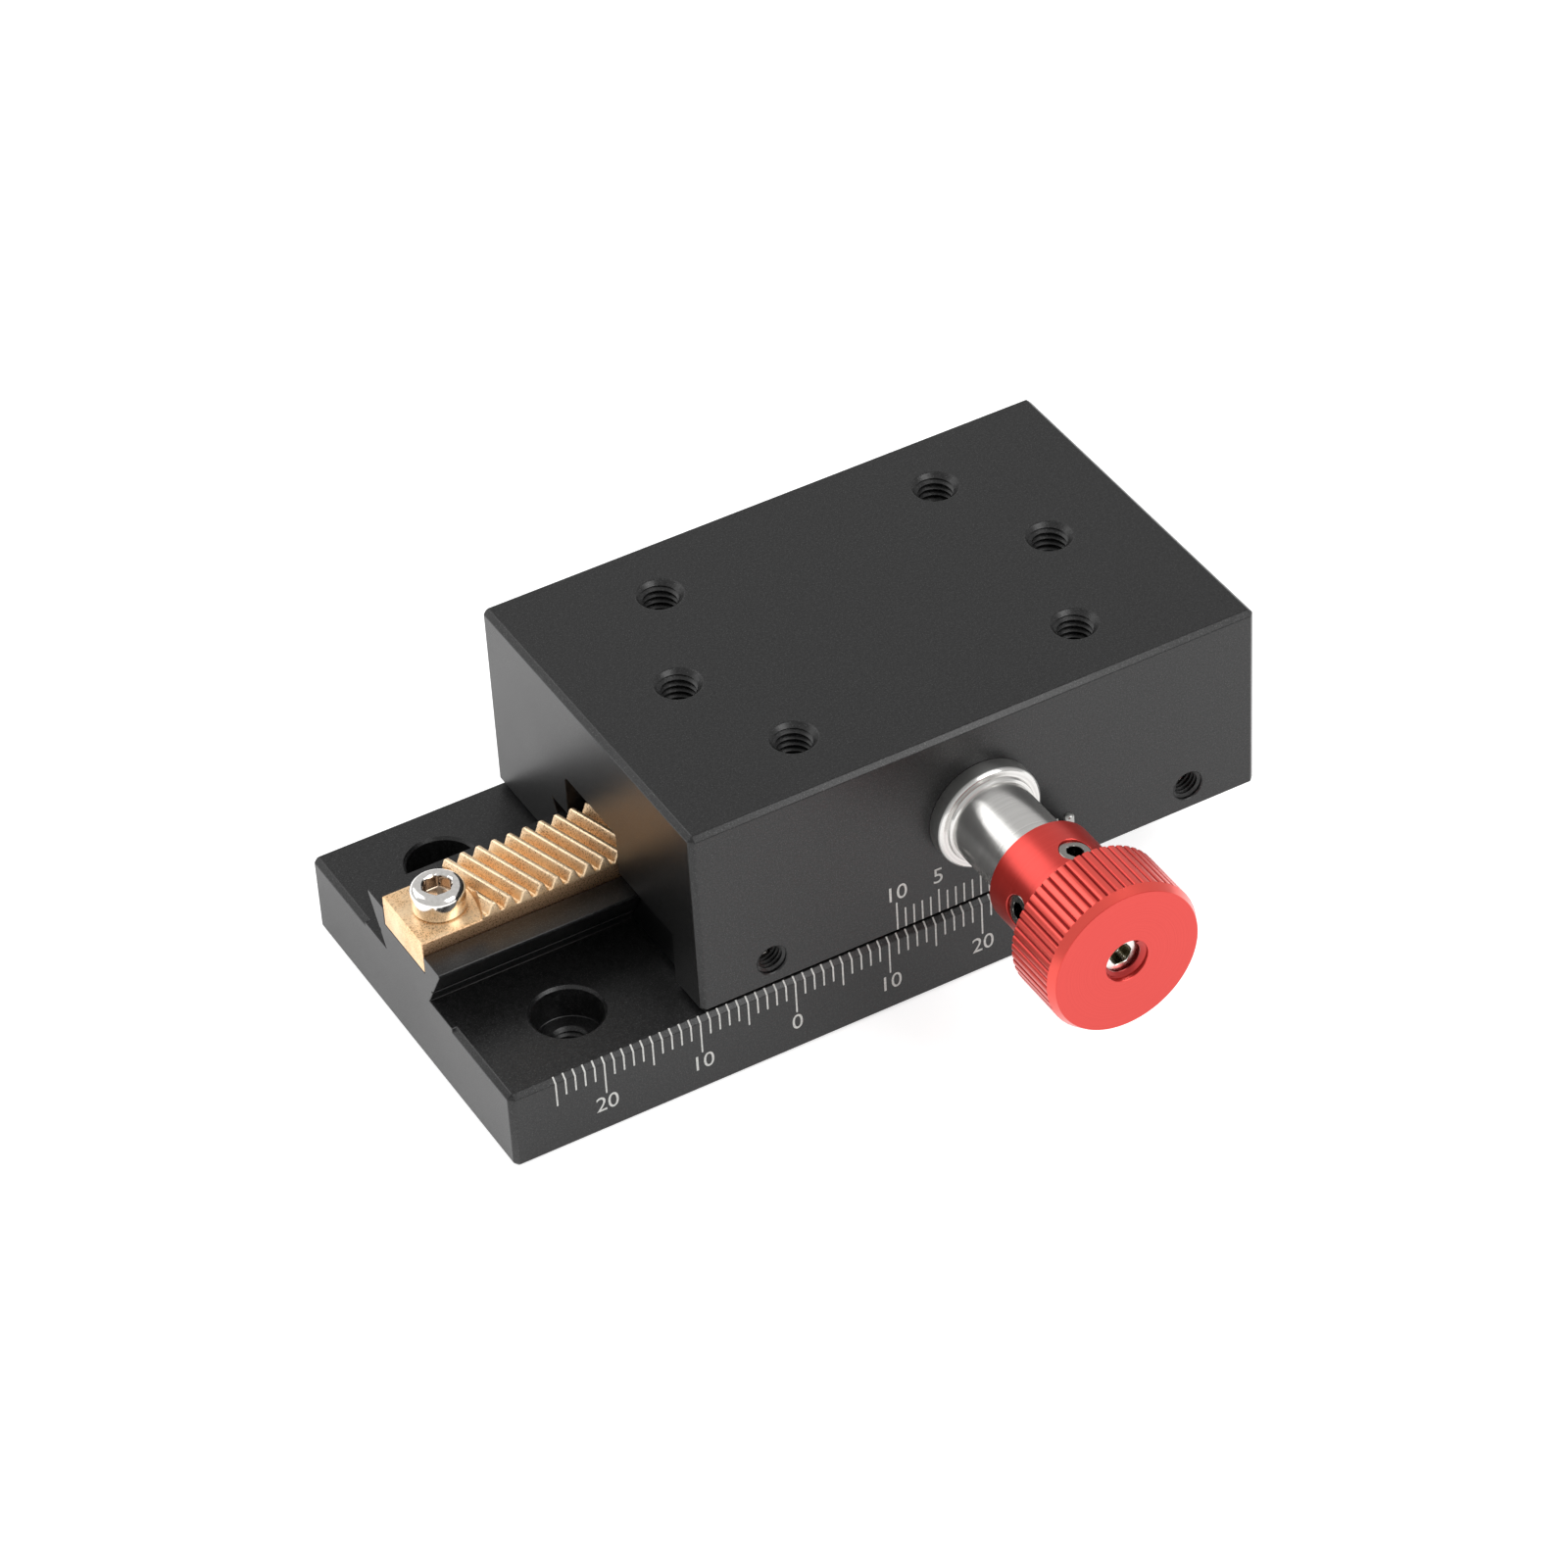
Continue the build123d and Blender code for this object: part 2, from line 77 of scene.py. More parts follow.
def middle_of(node):
    low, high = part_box(node)
    return (low + high) / 2


# Places and sizes read from the frame
front_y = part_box("base")[0].y
table_low, table_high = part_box("table")
knob_low, knob_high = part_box("knob")
rack_low, rack_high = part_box("rack")
joints = {joint["name"]: joint for joint in frame["joints"]}
mounts = {mount["name"]: mount for mount in frame["record"]["mounts"]}
shaft = Vector(joints["knob_turn"]["pos_m"])
table_middle = (table_low.x + table_high.x) / 2
knob_face = knob_low.y
knob_radius = knob_high.x - shaft.x
bolt_hole_radius = mounts["base_bolts"]["dims"]["hole_r_mm"] * MM
side_places = [
    Vector((middle_of(screw).x, front_y, middle_of(screw).z))
    for screw in ("gib_screw_left", "gib_screw_right")
]

# Sizes of the CAD pieces that the dressing follows
base_top = 8.8 * MM
edge_chamfer = 0.5 * MM
table_underside = base_top + 0.3 * MM
counterbore_radius = 3.4 * MM
counterbore_seat = base_top - 3.6 * MM
side_hole_radius = 1.55 * MM
mouth_radius = 2.2 * MM
flange_radius = 5.5 * MM
flange_front = front_y - 1.8 * MM

# Radii inside which the screws' sockets are shaded darker
knob_socket_radius = 0.82 * MM
end_socket_radius = 1.08 * MM
rack_socket_radius = 1.36 * MM

# Threads: cutters for the holes that show from above, and ridges on the walls of the others.
# A profile goes up one turn, at shares of the pitch.
thread_steps = 36  # round each turn
thread_profile = ((0.0, "root"), (0.15, "root"), (0.48, "crest"), (0.67, "crest"))
ridge_profile = ((0.05, "wall"), (0.42, "crest"), (0.58, "crest"), (0.95, "wall"))
top_thread = {"crest": 1.66 * MM, "root": 2.0 * MM, "pitch": 0.7 * MM, "turns": 10}
base_thread = {"crest": bolt_hole_radius + 0.01 * MM, "root": 2.0 * MM, "pitch": 0.7 * MM, "turns": 6}
top_thread_start = table_high.z + 0.4 * MM
base_thread_start = counterbore_seat + 0.3 * MM
ridge_root = 0.02 * MM  # inside the wall
side_ridge = {"wall": side_hole_radius + ridge_root, "crest": 1.27 * MM, "pitch": 0.5 * MM, "turns": 4}
mouth_ridge = {
    "wall": mouth_radius + ridge_root, "crest": 1.72 * MM, "pitch": 0.7 * MM, "turns": 1, "start": 0.75 * pi,
}
mouth_ridge_depth = 0.2 * MM

# Edge breaks: each node's bevel, as its width in millimetres and its segments, and then the edges of holes
bevels = {
    "base": (0.06, 1), "table": (0.06, 1), "knob": (0.04, 1), "rack": (0.15, 4), "pinion_bush": (0.08, 3),
    "lock_bar": (0.35, 6), "gib": (0.14, 1), "rack_screw_left": (0.25, 5), "rack_screw_right": (0.25, 5),
}
plain_bevel = (0.04, 1)
bevel_from = radians(30)
smooth_up_to = radians(20)
weld_distance = 0.001 * MM
rim_break = 0.27 * MM
bore_break = 0.35 * MM
side_break = 0.1 * MM
socket_lead_radius, socket_lead_break = 1.32 * MM, 0.16 * MM
clearance = 0.1 * MM  # that a cutter reaches past the surfaces that it cuts
round_steps = 48  # round a cutter's cones

# Fillet between the bush's nose and its flange: radius and distance before the flange, in millimetres
fillet_profile = ((4.20, 0.40), (4.36, 0.38), (4.52, 0.28), (4.62, 0.12), (4.66, -0.05))
fillet_steps = 72

# Scale on the base and vernier on the table
scale_zero = -0.3 * MM  # of both rows, from the middle of the piece that carries it
scale_reach = 25  # marks each way
scale_numerals = range(-20, 21, 10)
vernier_reach = 10
vernier_numerals = (-10, -5, 5, 10)
vernier_zero = table_middle + scale_zero
vernier_pitch = 0.9 * MM
mark_width = 0.17 * MM
mark_proud = 0.015 * MM
mark_tip_steps = 6
mark_bottoms = {10: 4.7 * MM, 5: 5.6 * MM, 1: 6.55 * MM}
vernier_tops = {10: 12.9 * MM, 5: 12.4 * MM, 1: 11.9 * MM}
numeral_height = 1.7 * MM
scale_numeral_foot = 2.75 * MM
vernier_numeral_foot = 13.2 * MM

# Camera: turned about Z, raised, rolled, then backed off and shifted in its own plane
camera_azimuth = radians(-27.596)
camera_elevation = radians(40.034)
camera_roll = radians(-3.584)
camera_back = 570.658 * MM
camera_aside = Vector((8.270, 13.708)) * MM
focal_length = 138.11
sensor_width = 36.0
camera_clip = 10 * MM

# Studio: its floor, its world and two soft boxes, in metres and watts
floor_reach = 4.0
floor_grey = (0.82, 0.82, 0.82, 1)
floor_glow = 0.65
world_strength = 0.70
white = (1, 1, 1, 1)
lit_point = Vector((0.01, -0.005, 0.015))
soft_boxes = {
    "key": {"place": Vector((-0.43, 0.57, 0.63)), "width": 0.7, "power": 2.6},
    "front": {"place": Vector((0.30, -0.52, 0.56)), "width": 0.45, "power": 2.6},
}


def put(tree, kind, inputs=None, **settings):
    """Adds a node. An input's value is a number, a colour or another node's output."""
    made = tree.nodes.new(kind)
    for name, value in settings.items():
        setattr(made, name, value)
    for name, value in (inputs or {}).items():
        if isinstance(value, bpy.types.NodeSocket):
            tree.links.new(value, made.inputs[name])
        else:
            made.inputs[name].default_value = value
    return made


def calculate(tree, operation, *values):
    return put(tree, "ShaderNodeMath", dict(enumerate(values)), operation=operation).outputs[0]


def vector_math(tree, operation, *vectors):
    return put(tree, "ShaderNodeVectorMath", dict(enumerate(vectors)), operation=operation).outputs


def new_material(name, inputs):
    """A material with one Principled shader, whose sockets are set from the inputs."""
    made = bpy.data.materials.new(name)
    made.use_nodes = True
    shader = made.node_tree.nodes["Principled BSDF"]
    for socket, value in inputs.items():
        shader.inputs[socket].default_value = value
    return made, made.node_tree, shader


def opaque(colour, share=1.0):
    """A colour of three channels, darkened to a share of itself, as a shader takes it."""
    return (*(channel * share for channel in colour), 1)


def object_place(tree):
    """Coordinates in metres, in the frame's axes."""
    return put(tree, "ShaderNodeTexCoord").outputs["Object"]


def axes_of(tree, place):
    return put(tree, "ShaderNodeSeparateXYZ", {"Vector": place}).outputs


def noise(tree, place, scale, detail=2.0, rough=0.5):
    inputs = {"Vector": place, "Scale": scale, "Detail": detail, "Roughness": rough}
    return put(tree, "ShaderNodeTexNoise", inputs).outputs["Fac"]


def spread(tree, value, low, high, start=0.3, end=0.7):
    """Maps a value from start..end, which fit a noise unless they are given, to low..high."""
    inputs = {"Value": value, "From Min": start, "From Max": end, "To Min": low, "To Max": high}
    return put(tree, "ShaderNodeMapRange", inputs).outputs["Result"]


def past(tree, value, edge, blur):
    """0 below an edge and 1 above it, changing over the blur on both sides."""
    return spread(tree, value, 0, 1, edge - blur, edge + blur)


def short_of(tree, value, edge, blur):
    """1 below an edge and 0 above it, changing over the blur on both sides."""
    return spread(tree, value, 1, 0, edge - blur, edge + blur)


def blend_colours(tree, factor, first, second):
    return put(tree, "ShaderNodeMix", {0: factor, 6: first, 7: second}, data_type="RGBA").outputs[2]


def bump(tree, shader, height, depth):
    made = put(tree, "ShaderNodeBump", {"Height": height, "Distance": depth, "Strength": 1.0})
    tree.links.new(made.outputs["Normal"], shader.inputs["Normal"])


def feed(tree, shader, **outputs):
    """Links outputs to the shader's sockets; an underscore in a name stands for a space."""
    for name, output in outputs.items():
        tree.links.new(output, shader.inputs[name.replace("_", " ")])


def lathe_place(tree, centre):
    """Coordinates that are the same all round an axis along Y: radius, then distance along the axis."""
    place = axes_of(tree, object_place(tree))
    aside = calculate(tree, "SUBTRACT", place["X"], centre.x)
    above = calculate(tree, "SUBTRACT", place["Z"], centre.z)
    flat = put(tree, "ShaderNodeCombineXYZ", {"X": aside, "Y": above}).outputs[0]
    radius = vector_math(tree, "LENGTH", flat)["Value"]
    return put(tree, "ShaderNodeCombineXYZ", {"X": radius, "Y": place["Y"]}).outputs[0]


def black_anodised():
    """Satin black over a fine blasted grain, with painted glints: sparse paler specks."""
    black, charcoal = opaque((0.0, 0.0, 0.0)), opaque((0.014, 0.014, 0.0144))
    spark = opaque((0.055, 0.055, 0.055))
    made, tree, shader = new_material(
        "black_anodised_finish", {"Metallic": 0.0, "IOR": 1.46, "Roughness": 0.34}
    )
    place = object_place(tree)
    grain = noise(tree, place, 4000, 5.0, 0.85)
    broad = noise(tree, place, 45, 3.0)
    colour = blend_colours(tree, spread(tree, grain, 0, 1, 0.42, 0.62), black, charcoal)
    # Painted glints: sparse specks of a paler black in the base colour
    glint = spread(tree, noise(tree, place, 9000, 1.0), 0, 1, 0.60, 0.72)
    colour = blend_colours(tree, glint, colour, spark)
    feed(tree, shader, Base_Color=colour, Roughness=spread(tree, broad, 0.31, 0.39))
    bump(tree, shader, grain, 0.014 * MM)
    return made


def rack_brass():
    """Milled brass with orange flanks, the teeth painted paler towards their crests as painted light, and
    specks thickest low on the long sides and in the middle of the rack, next to the table's end, as dirt and
    painted shade from the table."""
    orange, gold = opaque((0.98, 0.63, 0.33)), opaque((1.0, 0.76, 0.49))
    crest_highlight_gold = opaque((1.0, 0.78, 0.53))
    side_brown, pit_brown = opaque((0.64, 0.41, 0.24)), opaque((0.20, 0.09, 0.03))
    side_inset, side_blur = 0.06 * MM, 0.04 * MM
    made, tree, shader = new_material("rack_brass_finish", {"Metallic": 1.0})
    place = object_place(tree)
    axes = axes_of(tree, place)
    # Painted light: the teeth paler towards their crests
    painted_crest_light = past(tree, axes["Z"], rack_high.z - 0.6 * MM, 0.55 * MM)
    below_teeth = short_of(tree, axes["Z"], rack_high.z - 1.3 * MM, 0.2 * MM)
    at_front = short_of(tree, axes["Y"], rack_low.y + side_inset, side_blur)
    at_back = past(tree, axes["Y"], rack_high.y - side_inset, side_blur)
    low_side = calculate(tree, "MULTIPLY", calculate(tree, "MAXIMUM", at_front, at_back), below_teeth)
    speck = noise(tree, place, 6500, 3.0, 0.65)
    patch = noise(tree, place, 420, 3.0)
    body = blend_colours(tree, spread(tree, patch, 0, 1), orange, gold)
    body = blend_colours(tree, painted_crest_light, body, crest_highlight_gold)
    body = blend_colours(tree, low_side, body, side_brown)
    from_middle = calculate(tree, "ABSOLUTE", axes["X"])
    # Painted shade and dirt: denser dark specks in the middle, next to the table's end
    dirt_and_table_shade = spread(tree, from_middle, 0.9, 0.0, 9.0 * MM, 18.0 * MM)
    thick = calculate(tree, "MAXIMUM", spread(tree, patch, 1, 0.15), low_side)
    thick = calculate(tree, "MAXIMUM", thick, dirt_and_table_shade)
    pits = calculate(tree, "MULTIPLY", spread(tree, speck, 1, 0, 0.36, 0.50), thick)
    colour = blend_colours(tree, pits, body, pit_brown)
    feed(tree, shader, Base_Color=colour, Roughness=spread(tree, speck, 0.36, 0.50))
    bump(tree, shader, speck, 0.006 * MM)
    return made


def plain_metal(name, colour, roughness, grain_scale, grain_depth, darker=0.75):
    """Bare or plated metal with a faint mottle."""
    made, tree, shader = new_material(name, {"Metallic": 1.0})
    grain = noise(tree, object_place(tree), grain_scale, 3.0)
    mottled = blend_colours(tree, spread(tree, grain, 0, 1), opaque(colour, darker), opaque(colour))
    satin = spread(tree, grain, roughness * 0.85, roughness * 1.2)
    feed(tree, shader, Base_Color=mottled, Roughness=satin)
    bump(tree, shader, grain, grain_depth)
    return made


def socket_metal(name, colour, socket_shade, roughness, place, axis, socket_radius):
    """Plain metal with painted shade inside a hexagon socket round an axis."""
    made = plain_metal(name, colour, roughness, 2500, 0.001 * MM, 0.85)
    tree = made.node_tree
    shader = tree.nodes["Principled BSDF"]
    bright = shader.inputs["Base Color"].links[0].from_socket
    aside = vector_math(tree, "SUBTRACT", object_place(tree), place)[0]
    square = vector_math(tree, "CROSS_PRODUCT", aside, axis)[0]
    distance = vector_math(tree, "LENGTH", square)["Value"]
    outside = past(tree, distance, socket_radius, 0.04 * MM)
    feed(tree, shader, Base_Color=blend_colours(tree, outside, opaque(socket_shade), bright))
    return made


def turned_metal(name, colour, roughness, centre):
    """Steel off the lathe: fine rings round the axis, and round the flange's edge a rougher finish with
    painted shade, a darker grey.
    """
    made, tree, shader = new_material(
        name, {"Metallic": 0.94, "Anisotropic": 0.6, "Anisotropic Rotation": 0.25}
    )
    round_axis = put(tree, "ShaderNodeTangent", direction_type="RADIAL", axis="Y").outputs[0]
    lathe = lathe_place(tree, centre)
    rings = noise(tree, lathe, 5200)
    broad = noise(tree, object_place(tree), 300)
    dull_and_shaded_rim = past(tree, axes_of(tree, lathe)["X"], flange_radius - 0.11 * MM, 0.03 * MM)
    shade = blend_colours(tree, spread(tree, rings, 0, 1), opaque(colour, 0.86), opaque(colour))
    # Painted shade: the flange's edge darker grey
    shade = blend_colours(tree, dull_and_shaded_rim, shade, opaque((0.36, 0.36, 0.35)))
    satin = spread(tree, broad, roughness * 0.85, roughness * 1.2)
    satin = calculate(tree, "MULTIPLY", satin, spread(tree, dull_and_shaded_rim, 1.0, 1.7, 0, 1))
    feed(tree, shader, Base_Color=shade, Roughness=satin, Tangent=round_axis)
    bump(tree, shader, rings, 0.003 * MM)
    return made


def red_anodised():
    """Dyed clear anodising over turned aluminium, with painted highlights on the crests and bevel and painted
    shade in the flutes and mouth.
    """
    red, light_red = opaque((0.60, 0.032, 0.023)), opaque((0.65, 0.043, 0.032))
    crest_highlight_red = opaque((0.78, 0.075, 0.055))
    flute_shade_red, mouth_shade_red = opaque((0.20, 0.004, 0.003)), opaque((0.34, 0.010, 0.008))
    made, tree, shader = new_material(
        "red_anodised_finish",
        {"Metallic": 0.70, "Specular IOR Level": 0.3, "Coat Roughness": 0.28, "Coat IOR": 1.5},
    )
    lathe = lathe_place(tree, shaft)
    axes = axes_of(tree, lathe)
    radius, along = axes["X"], axes["Y"]
    rings = noise(tree, lathe, 9000)
    broad = noise(tree, object_place(tree), 250, 3.0)
    grain = noise(tree, object_place(tree), 6500, 3.0, 0.7)

    # Painted shade: the flutes and the mouth darker red
    behind_bevel = past(tree, along, knob_face + 0.95 * MM, 0.05 * MM)
    in_flute = short_of(tree, radius, knob_radius - 0.09 * MM, 0.04 * MM)
    on_head = past(tree, radius, knob_radius - 0.25 * MM, 0.05 * MM)
    flute_shade = calculate(tree, "MULTIPLY", calculate(tree, "MULTIPLY", in_flute, behind_bevel), on_head)
    in_mouth = short_of(tree, radius, mouth_radius, 0.05 * MM)
    behind_face = past(tree, along, knob_face + 0.35 * MM, 0.25 * MM)
    mouth_shade = calculate(tree, "MULTIPLY", in_mouth, behind_face)
    # Painted highlights: the bevel and the crests paler red
    off_face = past(tree, along, knob_face + 0.05 * MM, 0.03 * MM)
    near_rim = past(tree, radius, knob_radius - 0.47 * MM, 0.03 * MM)
    bevel = calculate(tree, "MULTIPLY", off_face, near_rim)
    bevel = calculate(tree, "MULTIPLY", bevel, spread(tree, behind_bevel, 1, 0, 0, 1))
    crest = calculate(tree, "MULTIPLY", past(tree, radius, knob_radius - 0.03 * MM, 0.02 * MM), behind_bevel)
    crest = calculate(tree, "MAXIMUM", crest, bevel)

    colour = blend_colours(tree, spread(tree, rings, 0, 1), red, light_red)
    colour = blend_colours(tree, crest, colour, crest_highlight_red)
    colour = blend_colours(tree, flute_shade, colour, flute_shade_red)
    colour = blend_colours(tree, mouth_shade, colour, mouth_shade_red)
    coat = spread(tree, flute_shade, 0.50, 0.08, 0, 1)
    feed(tree, shader, Base_Color=colour, Roughness=spread(tree, broad, 0.28, 0.35), Coat_Weight=coat)
    bump(tree, shader, calculate(tree, "ADD", rings, grain), 0.002 * MM)
    return made


def mark_paint():
    """Laser-marked lines and numerals: pale grey, a little uneven."""
    grey, pale_grey = opaque((0.50, 0.50, 0.48)), opaque((0.72, 0.72, 0.69))
    made, tree, shader = new_material("mark_paint", {"Metallic": 0.0, "Roughness": 0.7})
    uneven = noise(tree, object_place(tree), 5000)
    feed(tree, shader, Base_Color=blend_colours(tree, spread(tree, uneven, 0, 1), grey, pale_grey))
    bump(tree, shader, uneven, 0.003 * MM)
    return made


def outward(node):
    """Direction from the shaft to a screw in the knob's collar."""
    way = middle_of(node) - shaft
    way.y = 0
    return way.normalized()


def screw_finishes():
    """Finishes of the screws that stand alone: those whose sockets show, and the black lock screw."""
    # Painted shade in the sockets; the rack screws' is warmed by a painted reflection of the brass
    black, dark_steel, dark_socket_shade = (0.045, 0.045, 0.045), (0.33, 0.32, 0.30), (0.015, 0.015, 0.015)
    bright_steel, grey_socket_shade = (0.80, 0.79, 0.76), (0.16, 0.15, 0.11)
    chrome, brass_tinted_socket_shade = (0.82, 0.80, 0.77), (0.42, 0.33, 0.25)
    made = {}
    for node in ("knob_set_screw_top", "knob_set_screw_side"):
        made[node] = socket_metal(
            node + "_finish", dark_steel, dark_socket_shade, 0.25, middle_of(node), outward(node),
            knob_socket_radius,
        )
    made["lock_screw"] = plain_metal("lock_screw_finish", black, 0.35, 3000, 0.003 * MM)
    made["knob_end_screw"] = socket_metal(
        "knob_end_screw_finish", bright_steel, grey_socket_shade, 0.2, shaft, inward, end_socket_radius
    )
    for node in ("rack_screw_left", "rack_screw_right"):
        made[node] = socket_metal(
            node + "_finish", chrome, brass_tinted_socket_shade, 0.12, middle_of(node), up, rack_socket_radius
        )
    return made


# Finishes by the record's slots, and by node for the screws that have their own
finishes = {
    "black_anodised": black_anodised(),
    "rack_brass": rack_brass(),
    "screw_chrome": plain_metal("screw_chrome_finish", (0.80, 0.78, 0.75), 0.14, 1500, 0.001 * MM, 0.9),
    "gib_steel": plain_metal("gib_steel_finish", (0.05, 0.05, 0.052), 0.4, 3000, 0.003 * MM),
    "set_screw_steel": plain_metal("set_screw_finish", (0.42, 0.40, 0.38), 0.28, 2500, 0.003 * MM, 0.6),
    "turned_steel": turned_metal("turned_steel_finish", (0.68, 0.67, 0.65), 0.19, shaft),
    "shaft_steel": turned_metal("shaft_steel_finish", (0.60, 0.60, 0.59), 0.25, shaft),
    "bush_bronze": plain_metal("bush_bronze_finish", (0.55, 0.38, 0.20), 0.4, 3500, 0.004 * MM),
    "red_anodised": red_anodised(),
}
paint = mark_paint()
own_finishes = screw_finishes()


def smoothing_group():
    """Geometry nodes that shade smooth across gentle edges only."""
    group = bpy.data.node_groups.new("smooth_gentle_edges", "GeometryNodeTree")
    for direction in ("INPUT", "OUTPUT"):
        group.interface.new_socket("Geometry", in_out=direction, socket_type="NodeSocketGeometry")
    start = put(group, "NodeGroupInput").outputs[0]
    bare = put(group, "GeometryNodeRemoveAttribute", {"Geometry": start, "Name": "custom_normal"}).outputs[0]
    faces = put(group, "GeometryNodeSetShadeSmooth", {"Geometry": bare}, domain="FACE").outputs[0]
    angle = put(group, "GeometryNodeInputMeshEdgeAngle").outputs["Unsigned Angle"]
    compared = {"A": angle, "B": smooth_up_to}
    gentle = put(group, "FunctionNodeCompare", compared, operation="LESS_THAN").outputs[0]
    shaded = {"Geometry": faces, "Shade Smooth": gentle}
    edges = put(group, "GeometryNodeSetShadeSmooth", shaded, domain="EDGE").outputs[0]
    put(group, "NodeGroupOutput", {"Geometry": edges})
    return group


smoothing = smoothing_group()


def smooth(piece):
    """Shades a piece smooth across gentle edges, and keeps its large faces flat."""
    piece.modifiers.new("smooth", "NODES").node_group = smoothing


def break_edges(piece, width, segments):
    """Joins a CAD mesh along its seams and bevels or rounds its sharp edges."""
    piece.modifiers.new("weld", "WELD").merge_threshold = weld_distance
    bevel = piece.modifiers.new("bevel", "BEVEL")
    bevel.width = width
    bevel.segments = segments
    bevel.limit_method = "ANGLE"
    bevel.angle_limit = bevel_from
    bevel.use_clamp_overlap = False
    bevel.loop_slide = False


def link(made):
    bpy.context.scene.collection.objects.link(made)
    return made


def mesh_object(name, corners, faces):
    mesh = bpy.data.meshes.new(name)
    mesh.from_pydata([tuple(corner) for corner in corners], [], faces)
    mesh.validate()
    return link(bpy.data.objects.new(name, mesh))


def turn_outward(shape):
    bmesh.ops.recalc_face_normals(shape, faces=shape.faces)


def turn_to_front(shape):
    bmesh.ops.reverse_faces(shape, faces=[face for face in shape.faces if face.normal.y > 0])


def edit_faces(piece, edit):
    """Changes a piece's mesh by a function that takes a bmesh."""
    shape = bmesh.new()
    shape.from_mesh(piece.data)
    edit(shape)
    shape.to_mesh(piece.data)
    shape.free()


def join_forms(name, forms):
    """One object of several forms, each a pair of corners and faces, with their faces turned outward."""
    corners, faces = [], []
    for form_corners, form_faces in forms:
        first = len(corners)
        corners += form_corners
        faces += [tuple(first + corner for corner in face) for face in form_faces]
    made = mesh_object(name, corners, faces)
    edit_faces(made, turn_outward)
    return made


def dress(piece, material, body):
    """Gives a new piece its finish and the body that it rides on."""
    piece.data.materials.append(material)
    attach(piece, body)


def cut(node, name, forms):
    """Cuts closed forms out of a CAD node, with a hidden cutter that rides on the node's body."""
    cutter = join_forms(name, forms)
    cutter.hide_render = True
    cutter.hide_viewport = True
    piece = frame["nodes"][node]
    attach(cutter, body_of(piece)[0])
    taken = piece.modifiers.new(name, "BOOLEAN")
    taken.operation = "DIFFERENCE"
    taken.solver = "EXACT"
    taken.object = cutter


def around(place, direction, radius, angle, along):
    """A point round an axis that starts at place and runs along direction."""
    turn = direction.to_track_quat("Z", "Y")
    return place + turn @ Vector((radius * cos(angle), radius * sin(angle), along))


def frustum(place, direction, near_radius, far_radius, length):
    """Corners and faces of a cone frustum that starts at place and runs along direction."""
    corners, faces = [], []
    for radius, along in ((near_radius, 0.0), (far_radius, length)):
        for step in range(round_steps):
            corners.append(around(place, direction, radius, 2 * pi * step / round_steps, along))
    for step in range(round_steps):
        after = (step + 1) % round_steps
        faces.append((step, after, round_steps + after, round_steps + step))
    faces += [tuple(reversed(range(round_steps))), tuple(range(round_steps, 2 * round_steps))]
    return corners, faces


def edge_cone(place, direction, radius, width):
    """A cone that breaks the edge of a hole by a width, at 45 degrees."""
    return frustum(
        place - direction * clearance, direction, radius + width + clearance, radius - clearance,
        width + 2 * clearance,
    )


def screw_form(place, direction, crest, root, pitch, turns):
    """Corners and faces of a screw-shaped solid: a thread of two radii round an axis, closed at both ends."""
    radii = {"crest": crest, "root": root}
    steps = thread_steps * turns
    count = len(thread_profile)
    corners, faces = [], []
    for step in range(steps + 1):
        angle = 2 * pi * step / thread_steps
        for share, side in thread_profile:
            along = (step / thread_steps + share) * pitch
            corners.append(around(place, direction, radii[side], angle, along))
    for step in range(steps):
        here, there = step * count, (step + 1) * count
        faces += [(here + k, there + k, there + k + 1, here + k + 1) for k in range(count - 1)]
        if step < steps - thread_steps:
            above = thread_steps * count
            faces.append((here + count - 1, there + count - 1, there + above, here + above))
    foot = len(corners)
    corners.append(place)
    first = [step * count for step in range(thread_steps + 1)] + [count - 1, count - 2, 1]
    faces += [(foot, first[(k + 1) % len(first)], first[k]) for k in range(len(first))]
    head = len(corners)
    corners.append(around(place, direction, 0, 0, (turns + 1) * pitch))
    last = [step * count + count - 1 for step in range(steps - thread_steps, steps + 1)]
    last += [steps * count + 2, steps * count + 1, steps * count]
    faces += [(head, last[k], last[(k + 1) % len(last)]) for k in range(len(last))]
    return corners, faces


def ridge(place, direction, wall, crest, pitch, turns, start=0.0):
    """Corners and faces of a thin helical ridge that stands on the wall of a hole."""
    radii = {"crest": crest, "wall": wall}
    count = len(ridge_profile)
    corners, faces = [], []
    for step in range(thread_steps * turns + 1):
        angle = start + 2 * pi * step / thread_steps
        for share, side in ridge_profile:
            along = (step / thread_steps + share) * pitch
            corners.append(around(place, direction, radii[side], angle, along))
    for step in range(thread_steps * turns):
        here, there = step * count, (step + 1) * count
        for k in range(count):
            after = (k + 1) % count
            faces.append((here + k, here + after, there + after, there + k))
    end = thread_steps * turns * count
    faces += [(3, 2, 1, 0), (end, end + 1, end + 2, end + 3)]
    return corners, faces


def pattern(mount, height):
    """Centres of a mount's holes, at a height."""
    centre = Vector(mounts[mount]["pos_m"])
    sizes = mounts[mount]["dims"]
    across, back = sizes.get("spacing_x_mm", 0) / 2 * MM, sizes.get("spacing_y_mm", 0) / 2 * MM
    places = {(centre.x + sx * across, centre.y + sy * back) for sx in (-1, 1) for sy in (-1, 1)}
    return [Vector((x, y, height)) for x, y in sorted(places)]


def dress_cad_nodes():
    """Each CAD node's finish and bevel."""
    for name, node in frame["nodes"].items():
        width, segments = bevels.get(name, plain_bevel)
        break_edges(node, width * MM, segments)
        for holder in node.material_slots:
            holder.material = own_finishes.get(name) or finishes[holder.material.name]


